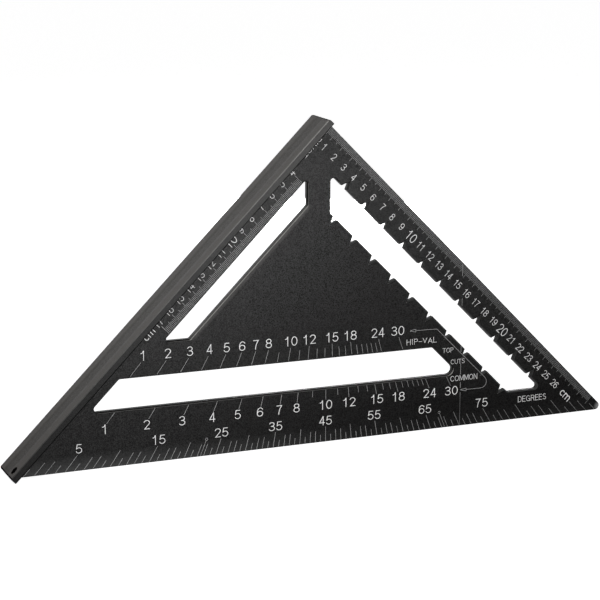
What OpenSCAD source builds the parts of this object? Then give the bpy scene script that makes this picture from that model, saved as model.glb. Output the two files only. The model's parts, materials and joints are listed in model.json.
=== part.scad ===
// Speed square (rafter square): a triangular blade seated in a groove along a T-shaped fence.
// Each piece is drawn flat first: the pivot corner is at the origin, x runs along the fence,
// y along the graduated edge and z out of the printed face, with z = 0 halfway through the blade.
// stand_up() then sets the long edge on the ground, with the pivot corner at the top.

/* [Blade] */
// Length of the two equal edges that meet at the pivot corner
leg = 304.8; // [280:0.2:360]
// Thickness of the blade
blade_t = 4.8; // [4:0.1:7]
// Radius of the sharp tip at the far end of the graduated edge
tip_r = 3; // [1:0.1:6]
// Chamfer round every slot, on both faces
slot_chamfer = 0.9; // [0.3:0.1:1.5]

/* [Fence] */
// Height of the fence across both lips
fence_h = 28.6; // [22:0.1:40]
// Thickness of the fence
fence_t = 4.7; // [4.5:0.1:8]
// Depth of the groove that the blade is pressed into
groove_d = 1.6; // [1:0.1:2]
// Chamfer along the long edges of the fence
fence_chamfer = 0.5; // [0.2:0.1:1.5]
// Chamfer of the two outer corners at the ends of the fence
end_chamfer = 1.2; // [0.5:0.1:3]
// Width of the shallow relief along the middle of the outer face
relief_w = 13.4; // [8:0.1:16]
// Width of the gentle slope on each side of that relief
relief_slope = 3; // [1:0.1:3.5]
// Depth of that relief
relief_d = 0.15; // [0.1:0.05:0.5]
// Diameter of the hanging hole in the upper lip
hole_d = 5.2; // [3:0.1:7]
// Distance of the hanging hole from the end of the fence
hole_inset = 5.5; // [5:0.1:12]

/* [Dowel pins] */
// Diameter of the blind dowel pins between the blade and the fence
pin_d = 2.5; // [1.5:0.1:3]
// How far each pin reaches into the blade past the inner face of the fence
pin_reach = 6; // [4:0.5:8]
// How far each pin is seated below the floor of the groove
pin_seat = 2; // [1:0.1:2.2]
// Number of dowel pins
pin_count = 5; // [3:1:8]
// Distance of the first and last pin from the ends of the fence
pin_end = 24; // [16:1:40]
// Clearance round each pin in its hole
pin_clearance = 0.02; // [0.01:0.01:0.1]

/* [Fence slot] */
// Distance of the fence slot from the inner face of the fence
fence_slot_inset = 16.2; // [14:0.1:22]
// Width of the fence slot
fence_slot_w = 12.4; // [8:0.1:18]
// Distance of its first sharp corner from the graduated edge
fence_slot_start = 35.8; // [30:0.1:60]
// Radius of its corners
fence_slot_r = 1.2; // [0.5:0.1:3]

/* [Long slot] */
// Distance of the long slot from the long edge
long_slot_margin = 37.2; // [30:0.1:45]
// Width of the long slot
long_slot_w = 20.1; // [12:0.1:26]
// Distance of the long slot from the inner face of the fence
long_slot_inset = 10.6; // [10:0.1:20]
// Radius of its corners beside the fence
long_slot_heel_r = 2.1; // [0.5:0.1:4]
// Radius of its corners at the far end
long_slot_toe_r = 3.6; // [0.5:0.1:5]
// Rib between the fence slot and the long slot
lower_rib = 22.3; // [15:0.1:35]

/* [Notched slot] */
// Distance of the notched slot from the graduated edge
notched_slot_inset = 22.4; // [20:0.1:28]
// Width of the notched slot
notched_slot_w = 18.3; // [12:0.1:24]
// Distance of its first sharp corner from the inner face of the fence
notched_slot_start = 26.5; // [22:0.1:36]
// Radius of its corners
notched_slot_r = 2; // [0.5:0.1:3]
// Rib between the notched slot and the long slot
upper_rib = 15.1; // [10:0.1:25]
// Rib between the notched slot and the long edge
tip_rib = 20.3; // [16:0.1:30]
// Spacing of the scribing notches on each side of the slot
notch_pitch = 20; // [10:1:40]
// Depth of a scribing notch
notch_depth = 5.1; // [2:0.1:6]
// Width of a scribing notch at its mouth
notch_w = 4.5; // [2:0.1:7]

/* [Graduations] */
// Thickness of the printed marks
ink_t = 0.05; // [0.02:0.01:0.2]
// Width of a printed mark
mark_w = 0.2; // [0.1:0.05:0.4]
// Gap between an edge and the start of its marks
mark_gap = 0.3; // [0.1:0.1:1]
// Length of a millimetre mark
mm_mark = 4.5; // [2:0.1:6]
// Length of a five-millimetre mark
half_cm_mark = 5.8; // [3:0.1:7]
// Length of a centimetre mark
cm_mark = 7; // [4:0.1:8]
// Distance from the edge of the fence's lip to the first mark of the edge scale
print_clearance = 3; // [2:0.5:6]
// Depth of the degree marks one degree either side of a multiple of five, square to the long edge
degree_short = 4.9; // [2:0.1:6]
// Depth of the degree marks two degrees either side of a multiple of five
degree_middle = 7.9; // [4:0.1:9]
// Depth of the degree marks at multiples of five
degree_long = 10.4; // [6:0.1:13]
// Depth of the two half-degree marks
degree_half = 10.4; // [6:0.1:14]
// Outer diameter of the ring at the end of a half-degree mark
ring_d = 1.8; // [1:0.1:3]
// Depth of the numbered marks of the common rafter scale, square to the long slot
common_long = 6.8; // [4:0.1:10]
// Depth of its marks between the numbers
common_short = 4.3; // [2:0.1:7]
// Depth of the numbered marks of the hip and valley scale, square to the long slot
hip_long = 8.6; // [5:0.1:12]
// Depth of its marks between the numbers
hip_short = 6.3; // [3:0.1:9]

/* [Hidden] */

root2 = sqrt(2);
right_angle = 90;
// Cuts run past the faces they open by this much
overcut = 0.4;
// Straight steps in each rounded corner
corner_steps = 7;
round_fn = 48;
// A chamfer reaches into a sharp notch no further than this many times its width
mitre_limit = 1.5;
millimetre = 1;
marks_per_half_cm = 5;
marks_per_cm = 10;
degree_group = 5;
half_degrees = [22.5, 67.5];
// The edge scale stops this far short of the tip
scale_tip_gap = 14;

face_z = blade_t / 2;
lip_h = (fence_h - blade_t) / 2;
lip_mid_z = face_z + lip_h / 2;
altitude = leg / root2;

// A line square to the pivot's bisector is written as x + y = reach
long_slot_outer_reach = leg - long_slot_margin * root2;
long_slot_inner_reach = long_slot_outer_reach - long_slot_w * root2;
fence_slot_reach = long_slot_inner_reach - lower_rib * root2;
notched_slot_reach = leg - tip_rib * root2;

fence_slot_near = fence_slot_inset;
fence_slot_far = fence_slot_inset + fence_slot_w;
notched_slot_near = notched_slot_inset;
notched_slot_far = notched_slot_inset + notched_slot_w;
notched_slot_end = notched_slot_reach - notched_slot_near;
long_slot_top = notched_slot_far + upper_rib;

// Rafter scales: a mark for each millimetre of rise in a centimetre of run, numbered where there is room
pitch_marks = concat([for (rise = [1:24]) rise], [30]);
numbered_pitches = [1, 2, 3, 4, 5, 6, 7, 8, 10, 12, 15, 18, 24, 30];

function unit(v) = v / norm(v);
function before(i, n) = (i + n - 1) % n;
function after(i, n) = (i + 1) % n;
function is_in(value, list) = len(search(value, list)) > 0;

// Points of one corner of an outline, rounded with radius r
function round_corner(prev, corner, next, r) =
    let (
        a = unit(prev - corner),
        b = unit(next - corner),
        half_angle = acos(a * b) / 2,
        centre = corner + unit(a + b) * r / sin(half_angle),
        sweep = 180 - 2 * half_angle,
        middle = unit(corner - centre),
        heading = atan2(middle[1], middle[0])
    )
    r == 0 ? [corner] :
    [for (i = [0:corner_steps])
        let (angle = heading - sweep / 2 + sweep * i / corner_steps)
        centre + r * [cos(angle), sin(angle)]];

// Corners run counter-clockwise, with one radius each; the result is a list of point lists
function round_corners(corners, radii) =
    let (n = len(corners))
    [for (i = [0:n - 1])
        round_corner(corners[before(i, n)], corners[i], corners[after(i, n)], radii[i])];

function flatten(lists) = [for (list = lists) each list];

// Moves every edge of a counter-clockwise outline outwards by d
function grow(outline, d) =
    let (n = len(outline))
    [for (i = [0:n - 1])
        let (
            arrive = unit(outline[i] - outline[before(i, n)]),
            leave = unit(outline[after(i, n)] - outline[i]),
            side = unit([arrive[1] + leave[1], -arrive[0] - leave[0]]),
            stretch = 1 / (side * [arrive[1], -arrive[0]])
        )
        outline[i] + side * d * min(stretch, mitre_limit)];

fence_slot_corners = [
    [fence_slot_start, fence_slot_near],
    [fence_slot_reach - fence_slot_near, fence_slot_near],
    [fence_slot_reach - fence_slot_far, fence_slot_far],
    [fence_slot_start + fence_slot_w, fence_slot_far]
];
long_slot_corners = [
    [long_slot_inner_reach - long_slot_inset, long_slot_inset],
    [long_slot_outer_reach - long_slot_inset, long_slot_inset],
    [long_slot_top, long_slot_outer_reach - long_slot_top],
    [long_slot_top, long_slot_inner_reach - long_slot_top]
];
notched_slot_corners = [
    [notched_slot_near, notched_slot_start],
    [notched_slot_far, notched_slot_start + notched_slot_w],
    [notched_slot_far, notched_slot_end - notched_slot_w],
    [notched_slot_near, notched_slot_end]
];

// Places along the graduated edge, from "first" in whole pitches, that leave room for a notch
function notch_places(first, low, high) =
    [for (y = [first:notch_pitch:high - notch_w]) if (y > low + notch_w) y];

near_notches = notch_places(notch_pitch, notched_slot_start, notched_slot_end);
far_notches = notch_places(notch_pitch / 2, notched_slot_start + notched_slot_w,
                           notched_slot_end - notched_slot_w);

// Outline of a notch in the wall at x, cut "towards" lower or higher x, with its mouth open to the slot
function notch_outline(x, y, towards) =
    let (
        mouth_x = x - towards * notch_depth,
        tip = [x + towards * notch_depth, y],
        low = [mouth_x, y - notch_w],
        high = [mouth_x, y + notch_w]
    )
    towards > 0 ? [low, tip, high] : [high, tip, low];

slot_outlines = [
    flatten(round_corners(fence_slot_corners, [for (i = [0:3]) fence_slot_r])),
    flatten(round_corners(long_slot_corners,
        [long_slot_heel_r, long_slot_heel_r, long_slot_toe_r, long_slot_toe_r])),
    flatten(round_corners(notched_slot_corners, [for (i = [0:3]) notched_slot_r]))
];
notch_outlines = concat(
    [for (y = near_notches) notch_outline(notched_slot_near, y, -1)],
    [for (y = far_notches) notch_outline(notched_slot_far, y, 1)]
);

// Places of the dowel pins along the fence
pin_step = (leg - 2 * pin_end) / (pin_count - 1);
pin_places = [for (i = [0:pin_count - 1]) pin_end + i * pin_step];

module stand_up() {
    translate([0, 0, altitude])
        rotate([right_angle, 0, 0])
            rotate([0, 0, 180 + right_angle / 2])
                children();
}

// A through cut with a convex outline, chamfered where it meets both faces of the blade
module chamfered_cut(outline) {
    n = len(outline);
    levels = [
        [-face_z - overcut, slot_chamfer + overcut],
        [-face_z + slot_chamfer, 0],
        [face_z - slot_chamfer, 0],
        [face_z + overcut, slot_chamfer + overcut]
    ];
    points = [for (level = levels) each [for (p = grow(outline, level[1])) [p[0], p[1], level[0]]]];
    walls = [for (k = [0:len(levels) - 2]) each
        [for (i = [0:n - 1]) [k * n + i, (k + 1) * n + i, (k + 1) * n + after(i, n), k * n + after(i, n)]]];
    floor_face = [for (i = [0:n - 1]) i];
    top_face = [for (i = [n - 1:-1:0]) (len(levels) - 1) * n + i];
    polyhedron(points, concat([floor_face], walls, [top_face]));
}

// Cylinders for the dowel pins, or for their holes
module pin_shapes(diameter, from_y, to_y) {
    for (x = pin_places)
        translate([x, from_y, 0])
            rotate([-right_angle, 0, 0])
                cylinder(d = diameter, h = to_y - from_y, $fn = round_fn);
}

module blade_plate() {
    corners = [[0, -groove_d], [leg, -groove_d], [leg, 0], [0, leg]];
    linear_extrude(blade_t, center = true)
        polygon(flatten(round_corners(corners, [0, 0, 0, tip_r])));
}

module blade() {
    color("#2a2929")
        stand_up()
            difference() {
                blade_plate();
                for (outline = concat(slot_outlines, notch_outlines))
                    chamfered_cut(outline);
                pin_shapes(pin_d + 2 * pin_clearance, -groove_d - overcut, pin_reach + pin_clearance);
            }
}

// Half of the fence's section above the middle of the blade, as y and z
function fence_half_section() = [
    [-groove_d, face_z],
    [0, face_z],
    [0, fence_h / 2 - fence_chamfer],
    [-fence_chamfer, fence_h / 2],
    [fence_chamfer - fence_t, fence_h / 2],
    [-fence_t, fence_h / 2 - fence_chamfer],
    [-fence_t, relief_w / 2],
    [relief_d - fence_t, relief_w / 2 - relief_slope]
];

module fence_bar() {
    half = fence_half_section();
    other_half = [for (i = [len(half) - 1:-1:0]) [half[i][0], -half[i][1]]];
    rotate([right_angle, 0, right_angle])
        linear_extrude(leg)
            polygon(concat(half, other_half));
}

// Cuts the outer corner at one end of the fence
module end_corner_cut(end_x) {
    translate([end_x, -fence_t, 0])
        rotate([0, 0, right_angle / 2])
            cube([end_chamfer * root2, end_chamfer * root2, fence_h + 2 * overcut], center = true);
}

module fence() {
    color("#4b4a48")
        stand_up()
            difference() {
                fence_bar();
                end_corner_cut(0);
                end_corner_cut(leg);
                translate([leg - hole_inset, -fence_t - overcut, lip_mid_z])
                    rotate([-right_angle, 0, 0])
                        cylinder(d = hole_d, h = fence_t + 2 * overcut, $fn = round_fn);
                pin_shapes(pin_d + 2 * pin_clearance, -groove_d - pin_seat, 0);
            }
}

module dowel_pins() {
    color("#9a9a98")
        stand_up()
            pin_shapes(pin_d, pin_clearance - groove_d - pin_seat, pin_reach);
}

// Lays flat marks on the printed face
module print_on_face() {
    color("#b9b9b6")
        stand_up()
            translate([0, 0, face_z])
                linear_extrude(ink_t)
                    children();
}

// A mark from the origin along x
module mark(length) {
    translate([0, -mark_w / 2])
        square([length, mark_w]);
}

function in_cm(length) = length / (marks_per_cm * millimetre);

function metric_mark(i) =
    i % marks_per_cm == 0 ? cm_mark : i % marks_per_half_cm == 0 ? half_cm_mark : mm_mark;

module edge_scale() {
    first = ceil(print_clearance / millimetre);
    last = floor(in_cm(leg - scale_tip_gap)) * marks_per_cm;
    print_on_face()
        for (i = [first:last])
            translate([mark_gap, i * millimetre])
                mark(metric_mark(i));
}

module fence_scale() {
    first = ceil(in_cm(fence_slot_start)) * marks_per_cm;
    last = floor(in_cm(fence_slot_reach - fence_slot_near)) * marks_per_cm;
    foot = fence_slot_near - slot_chamfer - mark_gap;
    print_on_face()
        for (i = [first:last])
            translate([i * millimetre, foot])
                rotate(-right_angle)
                    mark(metric_mark(i));
}

function degree_mark(angle) =
    let (rest = angle % degree_group)
    rest == 0 ? degree_long : rest == 1 || rest == degree_group - 1 ? degree_short : degree_middle;

// Distance from the pivot corner to the line x + y = reach, in the direction of an angle
function ray_length(angle, reach) = reach / (cos(angle) + sin(angle));

// A mark on a ray from the pivot corner, between two distances
module ray_mark(angle, from_r, to_r) {
    rotate(angle)
        translate([from_r, 0])
            mark(to_r - from_r);
}

// A degree mark that ends just short of the long edge
module degree_tick(angle, depth) {
    ray_mark(angle, ray_length(angle, leg - depth * root2), ray_length(angle, leg - mark_gap * root2));
}

module degree_scale() {
    print_on_face() {
        for (angle = [1:right_angle - 1])
            degree_tick(angle, degree_mark(angle));
        for (angle = half_degrees) {
            degree_tick(angle, degree_half);
            rotate(angle)
                translate([ray_length(angle, leg - degree_half * root2) - ring_d / 2 + mark_w / 2, 0])
                    difference() {
                        circle(d = ring_d, $fn = round_fn);
                        circle(d = ring_d - 2 * mark_w, $fn = round_fn);
                    }
        }
    }
}

module common_rafter_scale() {
    start = long_slot_outer_reach + (slot_chamfer + mark_gap) * root2;
    print_on_face()
        for (rise = pitch_marks) {
            depth = is_in(rise, numbered_pitches) ? common_long : common_short;
            angle = atan2(rise, marks_per_cm);
            ray_mark(angle, ray_length(angle, start), ray_length(angle, start + depth * root2));
        }
}

module hip_valley_scale() {
    start = long_slot_inner_reach - (slot_chamfer + mark_gap) * root2;
    print_on_face()
        for (rise = pitch_marks) {
            depth = is_in(rise, numbered_pitches) ? hip_long : hip_short;
            angle = atan2(rise, marks_per_cm * root2);
            ray_mark(angle, ray_length(angle, start - depth * root2), ray_length(angle, start));
        }
}

blade();
fence();
dowel_pins();
edge_scale();
fence_scale();
degree_scale();
common_rafter_scale();
hip_valley_scale();
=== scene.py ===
# %% [markdown]
# # A speed square, dressed for the camera
# A speed square is a carpenter's triangle: a flat blade with a fence along one leg, which hooks
# over the edge of a board. The measured solids come from CAD and are loaded here as a fixed frame.
# This script gives them their finishes, prints the lettering on the blade, and sets up a small
# studio around them.

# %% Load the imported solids
import json
import math
from collections import namedtuple

import bpy
from mathutils import Matrix, Quaternion, Vector

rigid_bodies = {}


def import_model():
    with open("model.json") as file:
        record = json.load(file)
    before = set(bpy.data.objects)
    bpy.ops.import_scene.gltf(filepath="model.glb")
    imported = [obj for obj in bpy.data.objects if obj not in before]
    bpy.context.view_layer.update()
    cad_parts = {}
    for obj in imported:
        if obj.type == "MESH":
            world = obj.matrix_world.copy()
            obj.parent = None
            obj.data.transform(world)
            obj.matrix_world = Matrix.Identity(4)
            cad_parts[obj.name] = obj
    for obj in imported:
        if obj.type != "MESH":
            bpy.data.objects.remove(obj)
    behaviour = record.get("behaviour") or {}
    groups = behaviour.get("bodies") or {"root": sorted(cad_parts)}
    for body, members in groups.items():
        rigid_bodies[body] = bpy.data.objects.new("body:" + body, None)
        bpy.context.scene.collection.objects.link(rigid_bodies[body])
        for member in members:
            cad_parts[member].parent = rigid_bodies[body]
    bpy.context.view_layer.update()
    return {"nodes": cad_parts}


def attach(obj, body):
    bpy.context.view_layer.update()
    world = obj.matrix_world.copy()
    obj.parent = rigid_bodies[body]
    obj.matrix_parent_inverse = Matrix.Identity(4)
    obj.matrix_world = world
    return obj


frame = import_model()
nodes = frame["nodes"]
MM = 0.001
print("solids:", ", ".join(sorted(nodes)))

# %% [markdown]
# ## One drawing, two frames
# The square stands on its long edge, but its scales are easier to think of on the flat drawing
# that a maker would use: the pivot corner at zero, x down the fence, y along the graduated edge,
# and z out of the printed face. A piece could be made flat and its object turned, but a pattern on
# Object coordinates would then turn with it. So every printed piece is made on the flat drawing, in
# metres, and one matrix stands its mesh up, while the object stays at the origin.

# %% From the flat drawing to the standing square
LEG = 304.8 * MM
BLADE_THICKNESS = 4.8 * MM
FACE_Z = BLADE_THICKNESS / 2
HALF_ROOT = math.sqrt(0.5)
STAND_UP = Matrix((
    (-HALF_ROOT, HALF_ROOT, 0.0, 0.0),
    (0.0, 0.0, -1.0, 0.0),
    (-HALF_ROOT, -HALF_ROOT, 0.0, LEG * HALF_ROOT),
    (0.0, 0.0, 0.0, 1.0),
))
print("pivot corner at", [round(v, 4) for v in STAND_UP.translation])

# %% [markdown]
# ## The camera
# The photograph looks down a little at the square from the fence side. A camera could be set by
# eye, but the printed centimetre marks lie at known places on the blade, so its place, aim and lens
# were fitted to them and to the outline. A long lens from well back keeps the perspective slight.
# The small roll is the tilt of the photograph.

# %% Camera
CAMERA_PLACE = Vector((-0.50588, -1.17051, 0.38529))
CAMERA_AIM = Vector((-0.01782, 0.0, 0.09828))
CAMERA_ROLL = math.radians(0.143)
SENSOR_WIDTH_MM = 36.0
LENS_MM = 118.67
camera_data = bpy.data.cameras.new("studio_camera")
camera_data.sensor_width = SENSOR_WIDTH_MM
camera_data.lens = LENS_MM
camera = bpy.data.objects.new("studio_camera", camera_data)
camera.location = CAMERA_PLACE
look = (CAMERA_AIM - CAMERA_PLACE).to_track_quat("-Z", "Y")
rolled_look = look @ Quaternion((0.0, 0.0, 1.0), CAMERA_ROLL)
camera.rotation_euler = rolled_look.to_euler()
bpy.context.scene.collection.objects.link(camera)
bpy.context.scene.camera = camera
bpy.context.scene.view_settings.view_transform = "Standard"
print("camera is", round((CAMERA_AIM - CAMERA_PLACE).length, 3), "m from the blade")

# %% [markdown]
# ## A white studio
# The background of a catalogue picture is plain white. Lighting paper until it burns out would
# also flood the black blade with light. Instead the paper gives off most of its own white, and only
# to rays that come from the camera, a reflection or glass. It takes light and shade as well, though
# beside so much white of its own the shadow of the square is hardly seen, as in the photograph.


# %% Paper that photographs as white
def seen_ray(tree):
    """A socket that is 1 for camera, glossy and transmission rays, and 0 for the rest."""
    path = tree.nodes.new("ShaderNodeLightPath")
    seen = path.outputs["Is Camera Ray"]
    for other in ("Is Glossy Ray", "Is Transmission Ray"):
        either = tree.nodes.new("ShaderNodeMath")
        either.operation = "MAXIMUM"
        tree.links.new(seen, either.inputs[0])
        tree.links.new(path.outputs[other], either.inputs[1])
        seen = either.outputs[0]
    return seen


PAPER_COLOUR = (0.8, 0.8, 0.8, 1.0)


def paper_material(name, own_white):
    """White paper that takes shade, with enough white of its own to photograph as white."""
    material = bpy.data.materials.new(name)
    material.use_nodes = True
    tree = material.node_tree
    tree.nodes.clear()
    paper = tree.nodes.new("ShaderNodeBsdfDiffuse")
    paper.inputs["Color"].default_value = PAPER_COLOUR
    strength = tree.nodes.new("ShaderNodeMath")
    strength.operation = "MULTIPLY"
    strength.inputs[1].default_value = own_white
    tree.links.new(seen_ray(tree), strength.inputs[0])
    glow = tree.nodes.new("ShaderNodeEmission")
    tree.links.new(strength.outputs[0], glow.inputs["Strength"])
    both = tree.nodes.new("ShaderNodeAddShader")
    tree.links.new(paper.outputs[0], both.inputs[0])
    tree.links.new(glow.outputs[0], both.inputs[1])
    out = tree.nodes.new("ShaderNodeOutputMaterial")
    tree.links.new(both.outputs[0], out.inputs["Surface"])
    return material


print("paper colour:", PAPER_COLOUR)


# %% Floor and wall
def paper_sheet(name, corners, own_white):
    """One flat sheet of the studio, which isn't part of the square."""
    mesh = bpy.data.meshes.new(name)
    mesh.from_pydata(corners, [], [(0, 1, 2, 3)])
    mesh.materials.append(paper_material(name + "_paper", own_white))
    sheet = bpy.data.objects.new(name, mesh)
    bpy.context.scene.collection.objects.link(sheet)


FRONT = -4.0
BACK = 5.0
SIDE = 4.0
TOP = 4.5
floor_corners = [(-SIDE, FRONT, 0), (SIDE, FRONT, 0), (SIDE, BACK, 0), (-SIDE, BACK, 0)]
wall_corners = [(-SIDE, BACK, 0), (SIDE, BACK, 0), (SIDE, BACK, TOP), (-SIDE, BACK, TOP)]
paper_sheet("floor", floor_corners, own_white=0.93)
paper_sheet("wall", wall_corners, own_white=1.0)
print("paper floor from y =", FRONT, "to", BACK, "m")

# %% [markdown]
# ## Light
# The blade has a broad sheen that is brightest beside the pivot corner and fades to the right
# and downwards. One big lamp would make it even. A blade this flat shows such a sheen where it
# mirrors a lamp softly, and seen from this camera it mirrors what lies low in front of it, so two
# flat strip boxes stand there: a small key before the blade and a longer, weaker fill on the right.
# A box high on the left lights the bevels and the ridge of the fence, whose thin bright lines are also
# painted into their colour. One high behind the square brightens the fence's outer face, and one low
# behind it shows the back of the blade to a camera that goes round.


# %% Soft boxes
def soft_box(name, place, aim, width, height, watts):
    """A rectangular lamp that points from its place towards a spot on the square."""
    lamp = bpy.data.lights.new(name, "AREA")
    lamp.shape = "RECTANGLE"
    lamp.size = width
    lamp.size_y = height
    lamp.energy = watts
    box = bpy.data.objects.new(name, lamp)
    box.location = place
    box.rotation_euler = (Vector(aim) - Vector(place)).to_track_quat("-Z", "Y").to_euler()
    bpy.context.scene.collection.objects.link(box)


BLADE_MIDDLE = (-0.02, 0.0, 0.11)
BESIDE_FENCE = (-0.05, 0.0, 0.11)
FENCE_MIDDLE = (-0.10, 0.0, 0.11)
soft_box("key_box", place=(0.00, -0.80, 0.06), aim=BLADE_MIDDLE, width=0.2, height=0.1, watts=3.6)
soft_box("fill_box", place=(0.30, -0.80, 0.06), aim=BLADE_MIDDLE, width=0.5, height=0.1, watts=2.5)
soft_box("edge_box", place=(-0.62, -0.47, 0.86), aim=BESIDE_FENCE, width=0.4, height=0.4, watts=2.5)
soft_box("back_box", place=(0.50, 0.80, 0.06), aim=BLADE_MIDDLE, width=0.5, height=0.1, watts=5.0)
soft_box("rim_box", place=(-0.60, 1.60, 0.80), aim=FENCE_MIDDLE, width=0.8, height=0.8, watts=2.0)
print("lamps:", [lamp.name for lamp in bpy.data.lights])

# %% [markdown]
# ## The surround
# Past the paper lies only the world. Left black, it would show as a dark sky in views from other
# sides and in the sheen of the fence. A world that is white to every ray would light the square flat.
# So it is treated as the paper is: white to the rays that see it, and dim to those that only light.

# %% A world that is seen but hardly lights
WORLD_LIGHT = 0.08
WORLD_SEEN = 1.0
world = bpy.data.worlds.new("studio_world")
world.use_nodes = True
tree = world.node_tree
background = tree.nodes["Background"]
background.inputs["Color"].default_value = (1.0, 1.0, 1.0, 1.0)
strength = tree.nodes.new("ShaderNodeMapRange")
strength.inputs["To Min"].default_value = WORLD_LIGHT
strength.inputs["To Max"].default_value = WORLD_SEEN
tree.links.new(seen_ray(tree), strength.inputs["Value"])
tree.links.new(strength.outputs["Result"], background.inputs["Strength"])
bpy.context.scene.world = world
print("world strength:", WORLD_LIGHT, "as light and", WORLD_SEEN, "as seen")

# %% [markdown]
# ## Finishes
# Nothing here is one flat colour: the coating is grainy, the fence has faint lines along it, and
# ink covers unevenly. Pictures of such surfaces could be wrapped round the solids, but noise needs
# no picture and stays sharp at any distance. Each finish is a small tree of noise on Object
# coordinates, so the grain has the same size on every piece.


# %% Helpers for patterns
def finish(name, roughness, specular):
    """A new material, with its node tree, its shader and the Object coordinates."""
    material = bpy.data.materials.new(name)
    material.use_nodes = True
    tree = material.node_tree
    shader = tree.nodes["Principled BSDF"]
    shader.inputs["Roughness"].default_value = roughness
    shader.inputs["Specular IOR Level"].default_value = specular
    return material, tree, shader, tree.nodes.new("ShaderNodeTexCoord").outputs["Object"]


def noise(tree, vector, scale, detail):
    """A noise pattern whose specks are about 1 / scale metres across."""
    node = tree.nodes.new("ShaderNodeTexNoise")
    node.inputs["Scale"].default_value = scale
    node.inputs["Detail"].default_value = detail
    tree.links.new(vector, node.inputs["Vector"])
    return node.outputs["Fac"]


def spread(tree, value, limits, results):
    """Maps a value between two limits onto two results, and stops at the ends."""
    node = tree.nodes.new("ShaderNodeMapRange")
    node.inputs["From Min"].default_value, node.inputs["From Max"].default_value = limits
    node.inputs["To Min"].default_value, node.inputs["To Max"].default_value = results
    tree.links.new(value, node.inputs["Value"])
    return node.outputs["Result"]


def rising(tree, value, limits):
    """A mask that is 0 up to the first limit and 1 from the second on."""
    return spread(tree, value, limits, (0.0, 1.0))


def falling(tree, value, limits):
    """A mask that is 1 up to the first limit and 0 from the second on."""
    return spread(tree, value, limits, (1.0, 0.0))


# Nearly all of a noise pattern lies between these values
NOISE_LIMITS = (0.3, 0.7)
print("pattern helpers: finish, noise, spread, rising, falling")


# %% Helpers for arithmetic
def reckon(tree, operation, first, second=None):
    """One step of arithmetic on a socket, with a second socket or number where it needs one."""
    node = tree.nodes.new("ShaderNodeMath")
    node.operation = operation
    tree.links.new(first, node.inputs[0])
    if isinstance(second, float):
        node.inputs[1].default_value = second
    elif second is not None:
        tree.links.new(second, node.inputs[1])
    return node.outputs[0]


def product(tree, first, *others):
    """Several sockets or numbers multiplied."""
    for other in others:
        first = reckon(tree, "MULTIPLY", first, other)
    return first


def largest(tree, first, *others):
    """The largest of several sockets."""
    for other in others:
        first = reckon(tree, "MAXIMUM", first, other)
    return first


print("arithmetic helpers: reckon, product, largest")


# %% Helpers for colour and relief
def grey(level, warmth=0.0):
    """A linear grey, with a little more red and less blue where it is warm."""
    return (level * (1 + warmth), level, level * (1 - warmth), 1.0)


# A Mix node has sockets for each kind of data, and these are the ones for colour
MIX_FACTOR = 0
MIX_FIRST = 6
MIX_SECOND = 7
MIX_RESULT = 2


def blend(tree, factor, first, second):
    """A colour between two others, each of which is a plain colour or a colour socket."""
    node = tree.nodes.new("ShaderNodeMix")
    node.data_type = "RGBA"
    tree.links.new(factor, node.inputs[MIX_FACTOR])
    for socket, colour in ((node.inputs[MIX_FIRST], first), (node.inputs[MIX_SECOND], second)):
        if isinstance(colour, tuple):
            socket.default_value = colour
        else:
            tree.links.new(colour, socket)
    return node.outputs[MIX_RESULT]


def bump(tree, shader, height, strength, distance):
    """Lets a pattern raise the surface by up to the given distance in metres."""
    node = tree.nodes.new("ShaderNodeBump")
    node.inputs["Strength"].default_value = strength
    node.inputs["Distance"].default_value = distance
    tree.links.new(height, node.inputs["Height"])
    tree.links.new(node.outputs["Normal"], shader.inputs["Normal"])


def coat(name, material):
    """Gives a CAD solid its finish."""
    materials = nodes[name].data.materials
    materials.clear()
    materials.append(material)


print("colour helpers: grey, blend, bump, coat")

# %% [markdown]
# ### Where on the square
# The finishes change from place to place. Masks could be painted by hand, but the places are plain
# ones, such as a strip beside a slot, so they are found by measuring: how far a point lies in a
# direction, where that is on the flat drawing, and which way its surface faces.

# %% Helpers for places
UP = (0.0, 0.0, 1.0)
RIGHT = (1.0, 0.0, 0.0)
ACROSS = (0.0, 1.0, 0.0)
UP_LEFT = (-HALF_ROOT, 0.0, HALF_ROOT)
DOWN_RIGHT = (HALF_ROOT, 0.0, -HALF_ROOT)
DOWN_FENCE = (-HALF_ROOT, 0.0, -HALF_ROOT)


def part_along(tree, vector, direction):
    """How far a vector reaches in a direction."""
    node = tree.nodes.new("ShaderNodeVectorMath")
    node.operation = "DOT_PRODUCT"
    node.inputs[1].default_value = direction
    tree.links.new(vector, node.inputs[0])
    return node.outputs["Value"]


def size_along(tree, vector, direction):
    """How far a vector reaches along a line, either way."""
    return reckon(tree, "ABSOLUTE", part_along(tree, vector, direction))


def on_drawing(tree, place):
    """The x and the y of a point on the flat drawing."""
    flat_x = reckon(tree, "ADD", part_along(tree, place, DOWN_FENCE), LEG / 2)
    flat_y = reckon(tree, "ADD", part_along(tree, place, DOWN_RIGHT), LEG / 2)
    return flat_x, flat_y


def surface_normal(tree):
    """The direction that the surface faces."""
    return tree.nodes.new("ShaderNodeNewGeometry").outputs["Normal"]


print("place helpers: part_along, size_along, on_drawing, surface_normal")

# %% [markdown]
# ### Black coating
# Blade and fence share a fine-grained black coating. A plain black would look like plastic film,
# and grain as relief alone is lost at this distance. So the same noise varies three things: how deep
# the black is, how strong its sheen is, and, a little, the height of the surface.

# %% Grain of the coating
COATING_ROUGHNESS = 0.32
GLOSS = 0.1
WARMTH = 0.03
DEEP_BLACK = grey(0.0004, WARMTH)
PALE_BLACK = grey(0.0040, WARMTH)
GRAINS_PER_METRE = 2300.0
GRAIN_DETAIL = 0.0
SPECK_SHEEN = (0.40, 1.60)
GRAIN_STRENGTH = 0.5
GRAIN_HEIGHT = 0.02 * MM


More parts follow.
